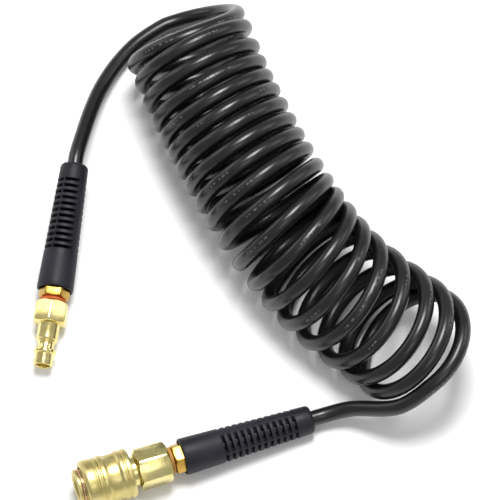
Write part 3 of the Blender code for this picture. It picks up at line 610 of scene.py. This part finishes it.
def lay(piece, axis, body, slot, material, *nodes):
    """Lays an upright piece on its axis and hands it to the frame."""
    select_only(piece)
    piece.matrix_world = axis
    bpy.ops.object.transform_apply(location=True, rotation=True, scale=True)
    piece.data.materials.clear()
    piece.data.materials.append(material)
    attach(piece, body)
    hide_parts(*nodes)


def hexagon_stations(flats, bottom, top, chamfer):
    """Outer side of a hexagon with turned chamfers, from the top down."""
    corner, rim = flats / sqrt(3) * CORNER_SHARE, flats / 2 - CHAMFER_RIM
    return [(rim, top), (corner, top - chamfer), (corner, bottom + chamfer), (rim, bottom)]


def wire_stations(radius, height, wire, sides):
    """Round section of a wire or O-ring, whose middle lies on a circle."""
    return [(radius + wire * cos(tau * k / sides), height + wire * sin(tau * k / sides))
            for k in range(sides)]


# ---------------------------------------------------------------- bend restrictors
def slot_disc(name, bottom):
    """One row of windows: a flat ring with gaps where the ribs stay."""
    top = bottom + SLOT_WIDTH
    ring = turned(name, [(SLOT_OUTER_RADIUS, top), (SLOT_OUTER_RADIUS, bottom),
                         (SLOT_INNER_RADIUS, bottom), (SLOT_INNER_RADIUS, top)], SLOT_ROUND)
    for rib, angle in ((THIN_RIB, 0.0), (WIDE_RIB, pi / 2)):
        size = (RIB_BAR_LENGTH, 2 * RIB_RADIUS * sin(radians(rib / 2)), 2 * SLOT_WIDTH)
        cut(ring, block((0, 0, bottom + SLOT_WIDTH / 2), size, angle))
    return ring


def bend_restrictor(end, axis, roll, material):
    """Tapered rubber sleeve with rows of slots, and a rear edge that covers the swivel nut."""
    tip, base, length = RESTRICTOR_TIP_RADIUS, RESTRICTOR_END_RADIUS, RESTRICTOR_LENGTH
    bore, pocket, cover = HOSE_RADIUS + RESTRICTOR_CLEARANCE, POCKET_RADIUS, COVER_BORE_RADIUS
    taper = [(base - (base - tip) * k / TAPER_STEPS, -0.8 - (length - 2.0) * k / TAPER_STEPS)
             for k in range(1, TAPER_STEPS)]
    top = COVER_LENGTH
    outline = [(base - 0.55, top), (base - 0.2, top - 0.15), (base, top - 0.6), (base, -0.9),
               *taper,
               (tip, -length + 1.5), (tip - 0.25, -length + 0.7), (tip - 0.8, -length + 0.12),
               (tip - 1.6, -length), (bore, -length), (bore, -POCKET_DEPTH),
               (pocket, -POCKET_DEPTH), (pocket, -0.1), (cover, -0.1), (cover, top)]
    piece = turned(end + "_restrictor", outline)
    rows = slot_disc(end + "_slots", FIRST_SLOT - SLOT_WIDTH / 2)
    select_only(rows)
    array = rows.modifiers.new("rows", 'ARRAY')
    array.count = SLOT_ROWS
    array.use_relative_offset = False
    array.use_constant_offset = True
    array.constant_offset_displace = (0, 0, SLOT_PITCH * MM)
    bpy.ops.object.modifier_apply(modifier=array.name)
    turn_round(rows, roll)
    cut(piece, rows)
    round_edges(piece, width=0.26)
    lay(piece, axis, "hose", "restrictor_rubber", material, end + "_bend_restrictor")


# ---------------------------------------------------------------- swivel nuts and seals
def swivel_nut(end, body, axis, material):
    """Hexagon and male thread, hollow for the barb's spigot and its clip."""
    outline = [(5.3, 17.0), (5.6, 16.7), (5.6, 7.5), *hexagon_stations(SWIVEL_HEX, 0.3, 7.3, 0.7),
               (3.7, 0.3), (3.7, 5.5), (4.4, 5.5), (4.4, 6.9), (3.7, 6.9), (3.7, 9.5), (2.5, 10.3),
               (2.5, 17.0)]
    nut = turned(end + "_union_nut", outline)
    mill_hexagon(nut, SWIVEL_HEX, SWIVEL_MILLING, SWIVEL_HEX_ROLL)
    round_edges(nut, width=0.13)
    lay(nut, axis, body, "warm_brass", material, end + "_swivel_nut")


def thread_seal(end, body, axis, material):
    """Coloured washer with a bulged rim, between the swivel nut and the fitting."""
    outline = [(6.3, 9.4), (6.7, 9.15), (6.78, 8.5), (6.7, 7.85), (6.3, 7.6), (5.9, 7.6),
               (5.9, 9.4)]
    seal = turned(end + "_thread_washer", outline)
    round_edges(seal, width=0.06)
    lay(seal, axis, body, "orange_seal", material, end + "_thread_seal")


# ---------------------------------------------------------------- quick plug
def plug_nipple(material):
    """The quick plug: nose, collar, neck, barrel and hexagon, with its bore."""
    outline = [(4.45, 43.5), (4.8, 43.15), (4.8, 37.6), (5.2, 37.2), (5.62, 36.95), (5.75, 36.6),
               (5.75, 35.5), (5.6, 35.15), (5.25, 35.0), (4.2, 34.8), (4.2, 31.2), (4.9, 31.0),
               (4.9, 29.9), (5.2, 29.8), (5.5, 29.5), (5.5, 21.4),
               *hexagon_stations(PLUG_HEX, 9.7, 21.2, 0.95),
               (5.9, 9.7), (5.9, 17.5), (3.4, 18.5), (3.4, 43.1), (3.75, 43.5)]
    plug = turned("quick_plug", outline)
    mill_hexagon(plug, PLUG_HEX, PLUG_MILLING, PLUG_HEX_ROLL)
    round_edges(plug, width=0.12)
    lay(plug, PLUG_AXIS, "plug", "pale_brass", material, "plug_nipple")


# ---------------------------------------------------------------- quick coupler
def rear_body(material):
    """Hexagon with the female thread, and the neck that screws into the front body."""
    outline = [(6.2, 36.9), (6.4, 36.7), (6.4, 30.5), (7.5, 30.5), (7.7, 30.3), (7.7, 27.2),
               (8.1, 26.7), *hexagon_stations(COUPLER_HEX, 9.7, 26.5, 1.1),
               (5.9, 9.7), (5.9, 18.0), (3.2, 18.0), (3.2, 20.0), (5.2, 20.0), (5.2, 36.9)]
    body = turned("coupler_hexagon", outline)
    mill_hexagon(body, COUPLER_HEX, COUPLER_MILLING, COUPLER_HEX_ROLL)
    round_edges(body, width=0.14)
    lay(body, COUPLER_AXIS, "coupler_body", "pale_brass", material, "coupler_rear_body")


def front_body(material):
    """Tube with the socket for the plug, and the holes for the locking balls."""
    outline = [(8.3, 58.0), (8.9, 57.85), (9.2, 57.5), (9.2, 56.5), (8.2, 56.5), (8.2, 54.6),
               (8.6, 54.6), (8.6, 32.8), (11.0, 32.8), (11.0, 30.8), (8.0, 30.8), (6.7, 30.8),
               (6.7, 38.1), (5.2, 38.1), (5.2, 43.0), (4.2, 43.0), (4.2, 44.4), (6.9, 44.4),
               (6.9, 46.6), (6.15, 46.6), (6.15, 57.3), (6.35, 57.75), (6.9, 58.0)]
    body = turned("coupler_socket_tube", outline)
    for i in range(BALL_COUNT):
        angle = tau * (i + 0.5) / BALL_COUNT
        place = (BALL_HOLE_CIRCLE * cos(angle), BALL_HOLE_CIRCLE * sin(angle), BALL_HEIGHT)
        deselect()
        bpy.ops.mesh.primitive_cylinder_add(
            vertices=HOLE_ROUND, radius=BALL_HOLE_RADIUS * MM, depth=BALL_HOLE_DEPTH * MM,
            rotation=(0, pi / 2, angle), location=Vector(place) * MM)
        cut(body, bpy.context.object)
    round_edges(body, width=0.1)
    lay(body, COUPLER_AXIS, "coupler_body", "satin_brass", material, "coupler_front_body")


def sleeve(material):
    """The pull-back sleeve, with its rolled front, two fine grooves, waist and rear groove."""
    outline = [(10.6, 54.3), (11.3, 54.22), (11.9, 53.95), (12.35, 53.4), (12.6, 52.5),
               (12.6, 48.6), (12.1, 48.2), (12.1, 47.6), (12.6, 47.2), (12.6, 46.2), (12.1, 45.8),
               (12.1, 45.2), (12.6, 44.8), (12.6, 43.2), (12.42, 42.7), (12.05, 42.25),
               (11.9, 41.6), (11.9, 36.6), (12.05, 35.95), (12.42, 35.5), (12.6, 35.0),
               (12.6, 33.6), (12.15, 33.25), (12.15, 32.55), (12.6, 32.2), (12.6, 30.6),
               (12.45, 30.0), (12.1, 29.6), (11.35, 29.6), (11.35, 47.5), (8.95, 47.5),
               (8.95, 50.4), (9.95, 52.6), (9.95, 54.3)]
    shell = turned("pull_back_sleeve", outline, SLEEVE_ROUND)
    round_edges(shell, width=0.1)
    lay(shell, COUPLER_AXIS, "sleeve", "satin_brass", material, "coupler_sleeve")


def snap_ring(material):
    """Round wire, open by a small gap where its two ends meet."""
    ring = turned("wire_snap_ring", wire_stations(SNAP_RING_RADIUS, SNAP_RING_HEIGHT,
                                                  SNAP_RING_WIRE, sides=16))
    gap = block((0, SNAP_RING_RADIUS, SNAP_RING_HEIGHT), SNAP_RING_GAP)
    turn_round(gap, SNAP_RING_GAP_ANGLE)
    cut(ring, gap)
    round_edges(ring, width=0.05, segments=1, angle=60)
    lay(ring, COUPLER_AXIS, "coupler_body", "copper_wire", material, "coupler_snap_ring")


def plug_seal(material):
    """O-ring in the socket, which the plug's nose pushes into."""
    seal = turned("socket_seal", wire_stations(PLUG_SEAL_RADIUS, PLUG_SEAL_HEIGHT,
                                               PLUG_SEAL_WIRE, sides=20))
    round_edges(seal, width=0.02, segments=1, angle=80)
    lay(seal, COUPLER_AXIS, "coupler_body", "nitrile", material, "coupler_plug_seal")


def valve(material):
    """Cup that closes the coupler, open at the front and closed behind by its seat."""
    outline = [(3.3, 45.4), (3.6, 45.1), (3.6, 41.5), (4.85, 41.5), (4.85, 39.2), (4.4, 38.9),
               (2.4, 38.9), (2.4, 41.0), (1.2, 42.0), (1.2, 45.1), (1.45, 45.4)]
    cup = turned("valve_cup", outline)
    round_edges(cup, width=0.1)
    lay(cup, COUPLER_AXIS, "valve", "pale_brass", material, "coupler_valve")


# ---------------------------------------------------------------- the frame's own pieces
def finish_kept_nodes(material, *names):
    """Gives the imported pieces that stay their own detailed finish."""
    for name in names:
        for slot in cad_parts[name].material_slots:
            slot.material = material


def fittings():
    rubber = rubber_material("restrictor_rubber_grain", RESTRICTOR_RUBBER)
    nitrile = rubber_material("black_nitrile_grain", NITRILE)
    orange = rubber_material("orange_sealing_washer", ORANGE_WASHER)
    amber = rubber_material("amber_sealing_washer", AMBER_WASHER)
    steel = steel_material("bright_steel_wire")
    for end, body, axis, roll, washer in (
            ("plug", "plug", PLUG_AXIS, PLUG_RIB_ROLL, orange),
            ("coupler", "coupler_body", COUPLER_AXIS, COUPLER_RIB_ROLL, amber)):
        warm = brass_material(end + "_warm_brass", axis, WARM_BRASS)
        bend_restrictor(end, axis, roll, rubber)
        swivel_nut(end, body, axis, warm)
        thread_seal(end, body, axis, washer)
        finish_kept_nodes(warm, end + "_hose_barb", end + "_ferrule")
        finish_kept_nodes(steel, end + "_swivel_clip")
        finish_kept_nodes(nitrile, end + "_swivel_seal")
    plug_nipple(brass_material("plug_polished_brass", PLUG_AXIS, PLUG_BRASS))
    pale = brass_material("coupler_polished_brass", COUPLER_AXIS, COUPLER_BRASS)
    satin = brass_material("coupler_satin_brass", COUPLER_AXIS, SATIN_BRASS)
    rear_body(pale)
    front_body(satin)
    sleeve(satin)
    snap_ring(brass_material("copper_wire", COUPLER_AXIS, COPPER))
    plug_seal(nitrile)
    valve(pale)
    balls = [f"locking_ball_{i}" for i in range(1, BALL_COUNT + 1)]
    finish_kept_nodes(steel, "coupler_sleeve_spring", "coupler_valve_spring", *balls)
    finish_kept_nodes(nitrile, "coupler_body_seal", "coupler_valve_seal")


camera()
studio()
studio_floor()
hose()
fittings()
